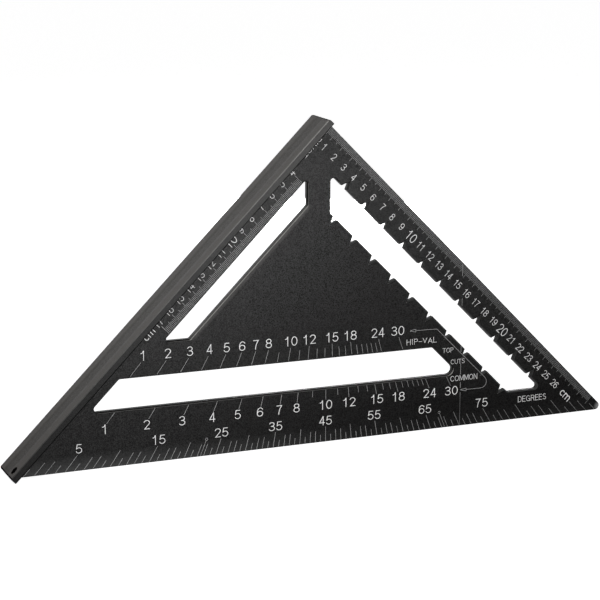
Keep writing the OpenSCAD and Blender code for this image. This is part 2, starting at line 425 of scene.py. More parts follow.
def coat_grain(tree, shader, place, dullness):
    """Gives a shader the grain and the sheen of the coating, and returns its colour."""
    grain = rising(tree, noise(tree, place, GRAINS_PER_METRE, GRAIN_DETAIL), NOISE_LIMITS)
    sheen = spread(tree, dullness, (0.0, 1.0), (GLOSS, 0.0))
    speck = spread(tree, grain, (0.0, 1.0), SPECK_SHEEN)
    tree.links.new(product(tree, sheen, speck), shader.inputs["Specular IOR Level"])
    bump(tree, shader, grain, GRAIN_STRENGTH, GRAIN_HEIGHT)
    return blend(tree, grain, DEEP_BLACK, PALE_BLACK)


print("grains of", round(1 / GRAINS_PER_METRE / MM, 2), "mm")

# %% [markdown]
# ### Sheen of the blade
# A flat black plate shows little but its sheen. In the photograph the sheen is weaker on the right,
# weakest at the low right, and faint on the walls of slots and edges. It can't be told there whether
# that is the coating or the light. More lamps could be set for it, but would change the print and the
# fence too, so the coating itself is made duller there.

# %% Sheen of the blade
coating, tree, shader, place = finish("black_coating", COATING_ROUGHNESS, GLOSS)
normal = surface_normal(tree)
facing = size_along(tree, normal, ACROSS)
height = part_along(tree, place, UP)
rightward = part_along(tree, place, RIGHT)

LOW_BAND = (20 * MM, 60 * MM)
TOWARDS_LOW_RIGHT = (-120 * MM, 80 * MM)
LOW_RIGHT_DULLNESS = 0.55
low = falling(tree, height, LOW_BAND)
dull_low_right = product(tree, low, rising(tree, rightward, TOWARDS_LOW_RIGHT), LOW_RIGHT_DULLNESS)

TOWARDS_RIGHT = (-60 * MM, 45 * MM)
RIGHT_DULLNESS = (0.0, 0.30)
dull_right = spread(tree, rightward, TOWARDS_RIGHT, RIGHT_DULLNESS)

WALL_FACING = (0.2, 0.6)
WALL_BAND = (20 * MM, 70 * MM)
WALL_DULLNESS = (0.6, 0.1)
wall = falling(tree, facing, WALL_FACING)
dull_wall = product(tree, wall, spread(tree, height, WALL_BAND, WALL_DULLNESS))

black = coat_grain(tree, shader, place, largest(tree, dull_wall, dull_low_right, dull_right))
print("brightest sheen of the blade:", GLOSS)

# %% [markdown]
# ### Painted light on the blade
# The black is painted a little paler in three places where light falls on it: a sheen along the left
# part of the long edge, light on the slopes of the notched slot, and a glow on the rim of the web beside
# the fence's slot. Each is a soft-edged box on the flat drawing or on the standing square. A picture
# could be painted for them, but the sides of a box are easy to move.

# %% Painted light on the blade
# painted sheen: a paler strip along the left part of the long edge, fading to the right
LONG_EDGE_STRIP = (1 * MM, 11 * MM)
LONG_EDGE_FADE = (-160 * MM, 20 * MM)
LONG_EDGE_SHARE = (1.0, 0.1)
LONG_EDGE_SHEEN_GREY = grey(0.03)
fading = spread(tree, rightward, LONG_EDGE_FADE, LONG_EDGE_SHARE)
long_edge_sheen = product(tree, falling(tree, height, LONG_EDGE_STRIP), fading)
black = blend(tree, long_edge_sheen, black, LONG_EDGE_SHEEN_GREY)

flat_x, flat_y = on_drawing(tree, place)
NOTCHED_NEAR = (12.4 * MM, 16.4 * MM)
NOTCHED_FAR = (44.4 * MM, 48.4 * MM)
NOTCHED_START = (32.4 * MM, 36.4 * MM)
# painted light: the walls and bevels of the notched slot are made paler
SLOPE_FACING = (0.75, 0.95)
NOTCH_LIGHT_GREY = grey(0.035)
by_notches = product(tree, rising(tree, flat_x, NOTCHED_NEAR), falling(tree, flat_x, NOTCHED_FAR),
                     rising(tree, flat_y, NOTCHED_START))
black = blend(tree, product(tree, falling(tree, facing, SLOPE_FACING), by_notches), black, NOTCH_LIGHT_GREY)

# painted highlight: a paler glow on the web beside the bright bevel of the fence's slot
RIM_START = (45.4 * MM, 49.4 * MM)
RIM_END = (160.4 * MM, 164.4 * MM)
RIM_NEAR = (22.4 * MM, 27.4 * MM)
RIM_FAR = (29.0 * MM, 32.2 * MM)
RIM_HIGHLIGHT_GREY = grey(0.05, WARMTH)
rim = product(tree, rising(tree, flat_x, RIM_START), falling(tree, flat_x, RIM_END),
              rising(tree, flat_y, RIM_NEAR), falling(tree, flat_y, RIM_FAR))
black = blend(tree, rim, black, RIM_HIGHLIGHT_GREY)
print("paler places: long edge, notched slot, rim beside the fence's slot")

# %% [markdown]
# ### Painted highlights on the edges of the blade
# On edges that face up and left as well as outwards, which are the lower edges of the slots, a thin
# paler line is painted into the coating as the highlight of the lamp high on the left. Pointiness could
# find edges, but needs a finer mesh than CAD gives. The normal finds them too: its part along UP_LEFT
# times its part along Y is about a half on those bevels, and nothing on a flat face or a wall. The line
# keeps to the part of the bevel next to a face, and away from the notches. The rounded tip gets a
# painted sheen as well, and is found by its distance.


# %% Painted highlights on the edges and tip of the blade
def up_left_bevel(tree, normal):
    """A socket near a half on the bevels that face up and left, and 0 or less elsewhere."""
    return product(tree, part_along(tree, normal, UP_LEFT), size_along(tree, normal, ACROSS))


BEVEL_LIMITS = (0.0, 0.5)
BEVEL_REACH = (0.0, 1.3 * MM)
BEVEL_HIGHLIGHT_REACH = (3.05 * MM, 3.55 * MM)
# painted highlight: a paler line on the bevels that face up and left
BEVEL_HIGHLIGHT_GREY = grey(0.29, WARMTH)
bevel = spread(tree, up_left_bevel(tree, normal), BEVEL_LIMITS, BEVEL_REACH)
reach = reckon(tree, "ADD", size_along(tree, place, ACROSS), bevel)
off_notches = largest(tree, rising(tree, flat_x, NOTCHED_FAR), falling(tree, flat_y, NOTCHED_START))
black = blend(tree, product(tree, rising(tree, reach, BEVEL_HIGHLIGHT_REACH), off_notches), black, BEVEL_HIGHLIGHT_GREY)

# painted sheen: the rounded tip is paler, as where it mirrors the light
TIP = STAND_UP @ Vector((1.6 * MM, 300.0 * MM, FACE_Z))
TIP_REACH = (1.0 * MM, 4.0 * MM)
TIP_SHEEN_GREY = grey(0.16)
from_tip = tree.nodes.new("ShaderNodeVectorMath")
from_tip.operation = "DISTANCE"
from_tip.inputs[1].default_value = TIP
tree.links.new(place, from_tip.inputs[0])
black = blend(tree, falling(tree, from_tip.outputs["Value"], TIP_REACH), black, TIP_SHEEN_GREY)
tree.links.new(black, shader.inputs["Base Color"])
coat("blade", coating)
print("blade finish:", coating.name)

# %% [markdown]
# ### Satin fence
# Only the outer face of the fence is satin metal, a little paler than the rest. All others have the
# black of the blade, and the ends are dull. The inner bevels and the arris beside the blade are dulled
# too, which paints a dark shadow line where the lip meets the blade. Two materials on two sets of faces
# could do this, but a CAD solid keeps its mesh as it is, so one material tells them apart by the way
# they face.

# %% Sheen of the fence
satin, tree, shader, place = finish("satin_fence", COATING_ROUGHNESS, GLOSS)
normal = surface_normal(tree)
bevel = up_left_bevel(tree, normal)
flat_x, flat_y = on_drawing(tree, place)

OUTER_FACING = (0.85, 0.97)
FENCE_LENGTH = (2.4 * MM, 302.4 * MM)
FACE_DULLNESS = (0.30, 0.58)
outer = rising(tree, part_along(tree, normal, UP_LEFT), OUTER_FACING)
dull_face = product(tree, outer, spread(tree, flat_x, FENCE_LENGTH, FACE_DULLNESS))

END_FACING = (0.5, 0.7)
INNER_BEVEL = (-0.45, -0.3)
ARRIS = (-0.9 * MM, -0.6 * MM)
dull_end = rising(tree, size_along(tree, normal, DOWN_FENCE), END_FACING)
# painted shadow: the inner bevels and the arris beside the blade lose their sheen, a dark line where the
# lip meets the blade
bevel_painted_shadow = falling(tree, bevel, INNER_BEVEL)
arris_painted_shadow = rising(tree, flat_y, ARRIS)
dullness = largest(tree, dull_face, dull_end, bevel_painted_shadow, arris_painted_shadow)
black = coat_grain(tree, shader, place, dullness)
print("sheen of the fence's face:", [round(GLOSS * (1 - dull), 3) for dull in FACE_DULLNESS])

# %% [markdown]
# ### Drawn metal
# The fence's bar is drawn through a die, which leaves faint lines along its length. They could be
# cut as grooves, but are far too fine for that, so they are noise that is stretched: a Mapping node
# turns the pattern by 45 degrees, the slope of the fence as it stands, and squeezes it across. The
# two outer strips of the face are paler than the shallow relief between them.

# %% Lines and strips of the outer face
FENCE_SLOPE = math.radians(45.0)
LINES_PER_METRE = (12.0, 500.0, 500.0)
LINE_DETAIL = 2.0
LINE_SHARE = (0.0, 0.10)
LINE_GREY = grey(0.008, 0.25)
STRIP_START = (3.0 * MM, 8.0 * MM)
RELIEF_GREY = grey(0.014, 0.30)
STRIP_GREY = grey(0.062, 0.12)
along_fence = tree.nodes.new("ShaderNodeMapping")
along_fence.inputs["Rotation"].default_value = (0.0, FENCE_SLOPE, 0.0)
along_fence.inputs["Scale"].default_value = LINES_PER_METRE
tree.links.new(place, along_fence.inputs["Vector"])
lines = noise(tree, along_fence.outputs["Vector"], 1.0, LINE_DETAIL)
strip = rising(tree, size_along(tree, place, ACROSS), STRIP_START)
drawn_metal = blend(tree, strip, RELIEF_GREY, STRIP_GREY)
lined_metal = blend(tree, spread(tree, lines, NOISE_LIMITS, LINE_SHARE), drawn_metal, LINE_GREY)
print("lines of", round(1 / LINES_PER_METRE[1] / MM, 1), "mm across the fence's face")

# %% [markdown]
# ### Lip and ridge
# Near the pivot corner the front of the lip is a little paler, a painted sheen, and the ridge between
# the lip and the outer face shows a bright line, a painted highlight on top of that of the lamp high on
# the left, which weakens down the fence. A thin piece of its own could be the line, but the ridge is a
# bevel of the solid, so the same material finds it by its normal.

# %% Lip and ridge of the fence
LIP_FACING = (-0.97, -0.85)
LIP_FADE = (10.4 * MM, 132.4 * MM)
LIP_SHEEN_GREY = grey(0.027, WARMTH)
RIDGE_BEVEL = (0.3, 0.45)
RIDGE_FADE = (2.4 * MM, 252.4 * MM)
RIDGE_SHARE = (1.0, 0.2)
RIDGE_HIGHLIGHT_GREY = grey(0.23, WARMTH)
# painted sheen: the front of the lip is paler near the pivot corner
lip_sheen = product(tree, falling(tree, part_along(tree, normal, ACROSS), LIP_FACING),
                   falling(tree, flat_x, LIP_FADE))
faced = blend(tree, outer, blend(tree, lip_sheen, black, LIP_SHEEN_GREY), lined_metal)
# painted highlight: a bright line on the ridge that weakens down the fence
ridge = product(tree, rising(tree, bevel, RIDGE_BEVEL), spread(tree, flat_x, RIDGE_FADE, RIDGE_SHARE))
tree.links.new(blend(tree, ridge, faced, RIDGE_HIGHLIGHT_GREY), shader.inputs["Base Color"])
coat("fence", satin)
print("fence finish:", satin.name)

# %% [markdown]
# ### Ground steel
# The pins between blade and fence are hidden in the finished square. They need no finish for the
# picture, but the part is also looked at in pieces, so they get plain metal with a fine mottle.

# %% Finish of the pins
STEEL_ROUGHNESS = 0.35
STEEL_SPECULAR = 0.5
MOTTLES_PER_METRE = 900.0
MOTTLE_DETAIL = 2.0
STEEL_DARK = grey(0.50)
STEEL_PALE = grey(0.60)
steel, tree, shader, place = finish("ground_steel", STEEL_ROUGHNESS, STEEL_SPECULAR)
shader.inputs["Metallic"].default_value = 1.0
mottle = noise(tree, place, MOTTLES_PER_METRE, MOTTLE_DETAIL)
tone = blend(tree, rising(tree, mottle, NOISE_LIMITS), STEEL_DARK, STEEL_PALE)
tree.links.new(tone, shader.inputs["Base Color"])
coat("dowel_pins", steel)
print("pin finish:", steel.name)

# %% [markdown]
# ### Ink
# Marks, lettering and lines are printed in a pale ink. One white would do for all, but the thin
# marks look greyer in the photograph than the lettering, the print is darker to the right, where shade
# is painted into the ink, and the low end of the layout line gets fainter. So there are three inks,
# each a little uneven, that darken towards black in those places.


# %% Inks
INK_ROUGHNESS = 0.6
INK_SPECULAR = 0.1
BLOTS_PER_METRE = 700.0
BLOT_DETAIL = 2.0
RIGHT_SHADE_SPAN = (-50 * MM, 140 * MM)
FAINT_LOW = (20 * MM, 26 * MM)


def ink(name, thin, thick, shade_right, faint_low):
    """Printing ink between a thin and a thick grey, with painted shade that darkens it to the right, and
    fainter low down.
    """
    material, tree, shader, place = finish(name, INK_ROUGHNESS, INK_SPECULAR)
    cover = rising(tree, noise(tree, place, BLOTS_PER_METRE, BLOT_DETAIL), NOISE_LIMITS)
    tone = blend(tree, cover, grey(thin), grey(thick))
    # painted shade: the ink darkens towards black to the right
    right = spread(tree, part_along(tree, place, RIGHT), RIGHT_SHADE_SPAN, (0.0, shade_right))
    low = spread(tree, part_along(tree, place, UP), FAINT_LOW, (faint_low, 0.0))
    tone = blend(tree, largest(tree, right, low), tone, grey(0.0))
    tree.links.new(tone, shader.inputs["Base Color"])
    return material


mark_ink = ink("mark_ink", thin=0.30, thick=0.43, shade_right=0.5, faint_low=0.0)
letter_ink = ink("letter_ink", thin=0.66, thick=0.80, shade_right=0.15, faint_low=0.0)
line_ink = ink("line_ink", thin=0.38, thick=0.49, shade_right=0.3, faint_low=0.72)
for name in ("edge_scale", "fence_scale", "degree_scale", "common_rafter_scale", "hip_valley_scale"):
    coat(name, mark_ink)
print("inks:", mark_ink.name, letter_ink.name, line_ink.name)

# %% [markdown]
# ## Drawing the signs
# The numerals are plain upright figures of one stroke width, with a flag on the 1. No font file
# is read here, and the built-in font has no flag, so each sign is drawn as a sign writer would: as a
# few pen strokes on a square of height 1. A stroke is a path of lines and arcs, and a sign is its
# width followed by its strokes.


# %% Strokes of each sign
ARC_STEP = 18
FEWEST_STEPS = 4


def arc(cx, cy, rx, ry, start, end):
    """Points on part of an ellipse, between two angles in degrees."""
    steps = max(FEWEST_STEPS, round(abs(end - start) / ARC_STEP))
    angles = [math.radians(start + (end - start) * i / steps) for i in range(steps + 1)]
    return [(cx + rx * math.cos(a), cy + ry * math.sin(a)) for a in angles]


STEM = [(0.06, 0.0), (0.06, 1.0)]
SIGNS = {
    "0": (0.66, [arc(0.33, 0.5, 0.27, 0.44, 0, 360)]),
    "1": (0.66, [[(0.41, 0.0), (0.41, 1.0)],
                 [(0.13, 0.735), (0.26, 0.755), (0.34, 0.83), (0.375, 0.96)]]),
    "2": (0.66, [arc(0.33, 0.70, 0.265, 0.24, 172, -36) + [(0.12, 0.06), (0.64, 0.06)]]),
    "3": (0.66, [arc(0.32, 0.735, 0.235, 0.205, 165, -90), arc(0.32, 0.295, 0.275, 0.235, 90, -165),
                 [(0.23, 0.53), (0.33, 0.53)]]),
    "4": (0.66, [[(0.475, 0.0), (0.475, 1.0)], [(0.467, 0.968), (0.09, 0.29), (0.645, 0.29)]]),
    "5": (0.66, [[(0.575, 0.94), (0.165, 0.94), (0.095, 0.475)],
                 arc(0.32, 0.335, 0.275, 0.275, 145, -162)]),
    "6": (0.66, [arc(0.33, 0.325, 0.27, 0.265, 0, 360),
                 arc(0.36, 0.5, 0.30, 0.44, 35, 180) + [(0.06, 0.325)]]),
    "7": (0.66, [[(0.04, 0.94), (0.56, 0.94), (0.44, 0.74), (0.34, 0.5), (0.28, 0.25), (0.26, 0.0)]]),
    "8": (0.66, [arc(0.33, 0.735, 0.235, 0.205, 0, 360), arc(0.33, 0.295, 0.275, 0.235, 0, 360)]),
    "9": (0.66, [arc(0.33, 0.675, 0.27, 0.265, 0, 360),
                 arc(0.30, 0.5, 0.30, 0.44, 215, 360) + [(0.60, 0.675)]]),
    "A": (0.84, [[(0.05, 0.0), (0.42, 0.86), (0.79, 0.0)], [(0.18, 0.30), (0.66, 0.30)]]),
    "C": (0.80, [arc(0.42, 0.5, 0.36, 0.44, 38, 322)]),
    "D": (0.74, [STEM, [(0.06, 0.94)] + arc(0.34, 0.5, 0.34, 0.44, 90, -90) + [(0.06, 0.06)]]),
    "E": (0.64, [STEM, [(0.06, 0.94), (0.62, 0.94)], [(0.06, 0.52), (0.58, 0.52)],
                 [(0.06, 0.06), (0.64, 0.06)]]),
    "G": (0.82, [arc(0.42, 0.5, 0.36, 0.44, 40, 320), [(0.44, 0.46), (0.82, 0.46)],
                 [(0.76, 0.0), (0.76, 0.46)]]),
    "H": (0.74, [STEM, [(0.68, 0.0), (0.68, 1.0)], [(0.06, 0.53), (0.68, 0.53)]]),
    "I": (0.34, [[(0.17, 0.0), (0.17, 1.0)]]),
    "L": (0.60, [[(0.06, 1.0), (0.06, 0.06), (0.60, 0.06)]]),
    "M": (0.88, [STEM, [(0.82, 0.0), (0.82, 1.0)], [(0.09, 0.97), (0.44, 0.14), (0.79, 0.97)]]),
    "N": (0.74, [STEM, [(0.68, 0.0), (0.68, 1.0)], [(0.08, 0.97), (0.66, 0.03)]]),
    "O": (0.86, [arc(0.43, 0.5, 0.37, 0.44, 0, 360)]),
    "P": (0.68, [STEM, [(0.06, 0.94)] + arc(0.38, 0.71, 0.24, 0.23, 90, -90) + [(0.06, 0.48)]]),
    "R": (0.72, [STEM, [(0.06, 0.94)] + arc(0.40, 0.735, 0.24, 0.205, 90, -90) + [(0.06, 0.53)],
                 [(0.44, 0.53), (0.66, 0.0)]]),
    "S": (0.68, [arc(0.34, 0.735, 0.25, 0.205, 20, 270), arc(0.34, 0.295, 0.28, 0.235, 90, -162)]),
    "T": (0.70, [[(0.0, 0.94), (0.70, 0.94)], [(0.35, 0.0), (0.35, 0.94)]]),
    "U": (0.72, [[(0.06, 1.0)] + arc(0.36, 0.36, 0.30, 0.30, 180, 360) + [(0.66, 1.0)]]),
    "V": (0.80, [[(0.05, 1.0), (0.40, 0.15), (0.75, 1.0)]]),
    "c": (0.56, [arc(0.31, 0.365, 0.25, 0.305, 45, 315)]),
    "m": (0.96, [[(0.06, 0.0), (0.06, 0.73)], arc(0.27, 0.46, 0.21, 0.21, 180, 0) + [(0.48, 0.0)],
                 arc(0.69, 0.46, 0.21, 0.21, 180, 0) + [(0.90, 0.0)]]),
    "-": (0.60, [[(0.02, 0.42), (0.58, 0.42)]]),
}
print("signs drawn:", "".join(SIGNS))

# %% [markdown]
# ## From strokes to slabs
# Real print is a thin layer of ink with a crisp edge. A curve with a round bevel would give the
# strokes soft, swollen ends, so each stroke is widened to both sides into a closed slab of thickness
# 1, with mitred corners and square ends. A pen is half the width of its stroke, as a share of the
# sign's height: a plain one, a fine one, and a bold one for the two units.

# %% Slabs of one sign
PLAIN_PEN = 0.033
FINE_PEN = 0.032
BOLD_PEN = 0.043
SAME_PLACE = 1e-6


def stroke_sides(path, closed, pen):
    """The left and the right edge of a stroke, with mitred corners."""
    left, right = [], []
    for i, point in enumerate(path):
        has_before = closed or i > 0
        has_after = closed or i < len(path) - 1
        after = path[(i + 1) % len(path)]
        arrive = (point - path[i - 1] if has_before else after - point).normalized()
        leave = (after - point if has_after else arrive).normalized()
        side = Vector((-arrive.y - leave.y, arrive.x + leave.x)).normalized()
        reach = pen / side.dot(Vector((-arrive.y, arrive.x)))
        left.append(point + side * reach)
        right.append(point - side * reach)
    return left, right


def stroke_slab(points, pen):
    """Vertices and outward faces of one stroke, from z = 0 to z = 1."""
    closed = math.dist(points[0], points[-1]) < SAME_PLACE
    path = [Vector(p) for p in (points[:-1] if closed else points)]
    left, right = stroke_sides(path, closed, pen)
    count = len(path)
    vertices = [(v.x, v.y, z) for z in (0.0, 1.0) for v in left + right]
    top = 2 * count
    faces = []
    for i in range(count if closed else count - 1):
        j = (i + 1) % count
        faces.append((i, j, count + j, count + i))
        faces.append((top + count + i, top + count + j, top + j, top + i))
        faces.append((j, i, top + i, top + j))
        faces.append((count + i, count + j, top + count + j, top + count + i))
    if not closed:
        faces.append((0, count, top + count, top))
        faces.append((top - 1, count - 1, top + count - 1, 2 * top - 1))
    return vertices, faces


def strokes_mesh(name, strokes, pen):
    """All the slabs of one sign in one mesh, still crossing each other."""
    vertices, faces = [], []
    for stroke in strokes:
        slab_vertices, slab_faces = stroke_slab(stroke, pen)
        faces += [tuple(len(vertices) + i for i in face) for face in slab_faces]
        vertices += slab_vertices
    mesh = bpy.data.meshes.new(name)
    mesh.from_pydata(vertices, [], faces)
    return mesh


print("the stem of an H has", len(stroke_slab(STEM, PLAIN_PEN)[1]), "faces")

# %% [markdown]
# ## Geometry Nodes from a script
# A tree of nodes could be drawn in Blender's editor, but one that is built here can be read from top
# to bottom and has its sizes as named inputs. Each tree ends in Realize Instances and Set Material,
# because an export keeps plain meshes and drops instances. It runs on a helper object, and the result
# is taken as a plain mesh.


# %% Helpers for Geometry Nodes
def new_tree(name, inputs):
    """A Geometry Nodes tree with named inputs: (tree, input node, output node)."""
    tree = bpy.data.node_groups.new(name, "GeometryNodeTree")
    tree.interface.new_socket("Geometry", in_out="INPUT", socket_type="NodeSocketGeometry")
    for label, kind in inputs:
        tree.interface.new_socket(label, in_out="INPUT", socket_type="NodeSocket" + kind)
    tree.interface.new_socket("Geometry", in_out="OUTPUT", socket_type="NodeSocketGeometry")
    return tree, tree.nodes.new("NodeGroupInput"), tree.nodes.new("NodeGroupOutput")


def node_after(tree, kind, socket, source):
    """A new node of a kind, with one of its inputs fed from a source socket."""
    node = tree.nodes.new(kind)
    tree.links.new(source, node.inputs[socket])
    return node


def attribute(tree, name, kind):
    """A socket that reads a named attribute of the points."""
    node = tree.nodes.new("GeometryNodeInputNamedAttribute")
    node.data_type = kind
    node.inputs["Name"].default_value = name
    return node.outputs["Attribute"]


def close_tree(tree, given, out, geometry):
    """Ends a tree in Realize Instances and Set Material."""
    real = node_after(tree, "GeometryNodeRealizeInstances", "Geometry", geometry)
    painted = node_after(tree, "GeometryNodeSetMaterial", "Geometry", real.outputs[0])
    tree.links.new(given.outputs["Material"], painted.inputs["Material"])
    tree.links.new(painted.outputs[0], out.inputs[0])


def grown(name, mesh, tree, values):
    """Runs a tree on a mesh, with its inputs set by identifier, and returns the plain result."""
    maker = bpy.data.objects.new(name + "_maker", mesh)
    bpy.context.scene.collection.objects.link(maker)
    modifier = maker.modifiers.new("grow", "NODES")
    modifier.node_group = tree
    for item in tree.interface.items_tree:
        if item.in_out == "INPUT" and item.name in values:
            modifier[item.identifier] = values[item.name]
    shown = maker.evaluated_get(bpy.context.evaluated_depsgraph_get())
    result = bpy.data.meshes.new_from_object(shown)
    result.name = name
    bpy.data.objects.remove(maker)
    return result


print("tree helpers: new_tree, node_after, attribute, close_tree, grown")

# %% [markdown]
# ## Cases of type
# The strokes of a sign cross each other, and the crossings would be counted twice in the finished
# mesh. They could be drawn around, but a small tree with a Mesh Boolean welds the slabs into one solid
# whatever the sign. A printer keeps such signs in a case of type, one for each pen, and so does this
# script: a case is a collection of all the signs.

# %% Welding tree and cases
weld, given, out = new_tree("weld_strokes", [("Material", "Material")])
union = weld.nodes.new("GeometryNodeMeshBoolean")
union.operation = "UNION"
union.solver = "EXACT"
union.inputs["Self Intersection"].default_value = True
weld.links.new(given.outputs["Geometry"], union.inputs["Mesh 2"])
close_tree(weld, given, out, union.outputs["Mesh"])


def type_case(name, pen):
    """A collection of all the signs, drawn with one pen and numbered, so that they sort in order."""
    case = bpy.data.collections.new(name)
    bpy.context.scene.collection.children.link(case)
    for i, (_, strokes) in enumerate(SIGNS.values()):
        slabs = strokes_mesh("slabs", strokes, pen)
        welded = grown("{}_{:02d}".format(name, i), slabs, weld, {"Material": letter_ink})
        case.objects.link(bpy.data.objects.new(welded.name, welded))
    return case


plain_case = type_case("plain_case", PLAIN_PEN)
fine_case = type_case("fine_case", FINE_PEN)
bold_case = type_case("bold_case", BOLD_PEN)
print("cases of type:", plain_case.name, fine_case.name, bold_case.name)

# %% [markdown]
# ## Stamping
# A printer sets a row of signs from a case and stamps it. Text objects could do that with a font,
# but here the signs are meshes, so a tree stamps them: each point of a mesh says which sign it gets,
# how wide and tall it is, and which way it is turned, and the tree puts an instance there.

# %% Stamping tree
stamp, given, out = new_tree(
    "stamp_signs", [("Case", "Collection"), ("Thickness", "Float"), ("Material", "Material")])
signs = node_after(stamp, "GeometryNodeCollectionInfo", "Collection", given.outputs["Case"])
signs.inputs["Separate Children"].default_value = True
size = stamp.nodes.new("ShaderNodeCombineXYZ")
stamp.links.new(attribute(stamp, "width", "FLOAT"), size.inputs["X"])
stamp.links.new(attribute(stamp, "height", "FLOAT"), size.inputs["Y"])
stamp.links.new(given.outputs["Thickness"], size.inputs["Z"])
heading = node_after(stamp, "ShaderNodeCombineXYZ", "Z", attribute(stamp, "turn", "FLOAT"))
points = node_after(stamp, "GeometryNodeMeshToPoints", "Mesh", given.outputs["Geometry"])
placed = node_after(stamp, "GeometryNodeInstanceOnPoints", "Points", points.outputs[0])
placed.inputs["Pick Instance"].default_value = True
stamp.links.new(signs.outputs[0], placed.inputs["Instance"])
stamp.links.new(attribute(stamp, "sign", "INT"), placed.inputs["Instance Index"])
stamp.links.new(heading.outputs[0], placed.inputs["Rotation"])
stamp.links.new(size.outputs[0], placed.inputs["Scale"])
close_tree(stamp, given, out, placed.outputs[0])
print("tree ready:", stamp.name)

# %% [markdown]
# ## Setting a line of type
# A line is set on the flat drawing by its middle, its height, the way it reads and how far its signs
# are stretched in width. Each sign could be placed by hand, but a line that spaces its own signs is
# easier to move. The finished row is stood up with the blade and rides with it.

# %% Lines of type
SIGN_INDEX = {sign: i for i, sign in enumerate(SIGNS)}
GAP = 0.10
Stamp = namedtuple("Stamp", "x y sign width height turn")


def set_line(text, middle, height, reads_along, stretch=1.0):
    """Stamps for one line of type, in mm and radians; reads_along is in degrees."""
    width = height * stretch
    steps = [(SIGNS[sign][0] + GAP) * width for sign in text]
    turn = math.radians(reads_along)
    along = Vector((math.cos(turn), math.sin(turn)))
    up = Vector((-along.y, along.x))
    pen = Vector(middle) - along * (sum(steps) - GAP * width) / 2 - up * height / 2
    stamps = []
    for sign, step in zip(text, steps):
        stamps.append(Stamp(pen.x, pen.y, SIGN_INDEX[sign], width, height, turn))
        pen = pen + along * step
    return stamps


print("a line of 26 takes", len(set_line("26", (0, 0), 5, 0)), "stamps")

# %% Printed pieces
INK_THICKNESS = 0.05 * MM
STAMP_LAYERS = (("sign", "INT", 1), ("width", "FLOAT", MM), ("height", "FLOAT", MM), ("turn", "FLOAT", 1))


def printed_piece(mesh):
    """Stands a flat print up on the blade, as a piece that moves with the square."""
    mesh.transform(STAND_UP)
    piece = bpy.data.objects.new(mesh.name, mesh)
    bpy.context.scene.collection.objects.link(piece)
    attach(piece, "root")
    print(piece.name, "has", len(mesh.polygons), "faces")


def stamped(name, stamps, case):
    """A print of all the stamps in a list, as one plain mesh."""
    mesh = bpy.data.meshes.new(name + "_points")
    mesh.from_pydata([(s.x * MM, s.y * MM, FACE_Z) for s in stamps], [], [])
    for label, kind, unit in STAMP_LAYERS:
        layer = mesh.attributes.new(label, kind, "POINT")
        layer.data.foreach_set("value", [getattr(s, label) * unit for s in stamps])
    return grown(name, mesh, stamp, {"Case": case, "Thickness": INK_THICKNESS, "Material": letter_ink})


print("ink is", INK_THICKNESS / MM, "mm thick")

# %% [markdown]
# ## Centimetre numerals
# The graduated edge counts from the pivot corner to 26, reading outwards along the edge, with the
# tens printed larger. The scale beside the fence counts on from 4, because the first centimetres lie
# beside solid metal, and the fence's lip hides the tops of its numerals. Both are rows at equal
# steps, so a loop sets them.

# %% Numerals of the two metric scales
CM = 10.0
TENS = 10
ALONG_EDGE = 90
UP_FENCE = 180
METRIC_STRETCH = 0.88

EDGE_NUMBERS = range(1, 27)
EDGE_ROW = 13.1
EDGE_HEIGHT = 5.05
EDGE_TENS_HEIGHT = 6.8
edge_stamps = []
for k in EDGE_NUMBERS:
    tall = EDGE_HEIGHT if k % TENS else EDGE_TENS_HEIGHT
    edge_stamps += set_line(str(k), (EDGE_ROW, k * CM), tall, ALONG_EDGE, METRIC_STRETCH)
printed_piece(stamped("edge_numerals", edge_stamps, fine_case))

FENCE_NUMBERS = range(4, 18)
FENCE_ROW = 4.8
FENCE_HEIGHT = 5.3
FENCE_TENS_HEIGHT = 7.1
fence_stamps = []
for k in FENCE_NUMBERS:
    tall = FENCE_HEIGHT if k % TENS else FENCE_TENS_HEIGHT
    fence_stamps += set_line(str(k), (k * CM, FENCE_ROW), tall, UP_FENCE, METRIC_STRETCH)
printed_piece(stamped("fence_numerals", fence_stamps, fine_case))

# %% [markdown]
# ## Numerals of the rafter and degree scales
# The marks of these scales lie on rays from the pivot corner. Their numerals could be placed by eye,
# but each stands upright over the far end of its mark, which can be worked out: a ray is followed to
# the line x + y = mark_end, and the numeral then moves square to the long edge onto its row,
# x + y = row. A common rafter rises so many millimetres in a centimetre. A hip or valley rafter runs
# across the corner, so its run is longer by the root of 2.

# %% Numerals on rays
UPRIGHT = 135
LEFT_SHIFT = 0.15


def on_row(angle, mark_end, row):
    """The middle of a numeral on its row, a little left of the mark at an angle in radians."""
    reach = mark_end / (math.cos(angle) + math.sin(angle))
    shift = (row - mark_end) / 2
    return (reach * math.cos(angle) + shift + LEFT_SHIFT, reach * math.sin(angle) + shift - LEFT_SHIFT)


def ray_stamps(angles, mark_end, row, height, stretch):
    """Stamps for the numerals of one scale, from a dictionary of number and angle."""
    stamps = []
    for number, angle in angles.items():
        stamps += set_line(str(number), on_row(angle, mark_end, row), height, UPRIGHT, stretch)
    return stamps


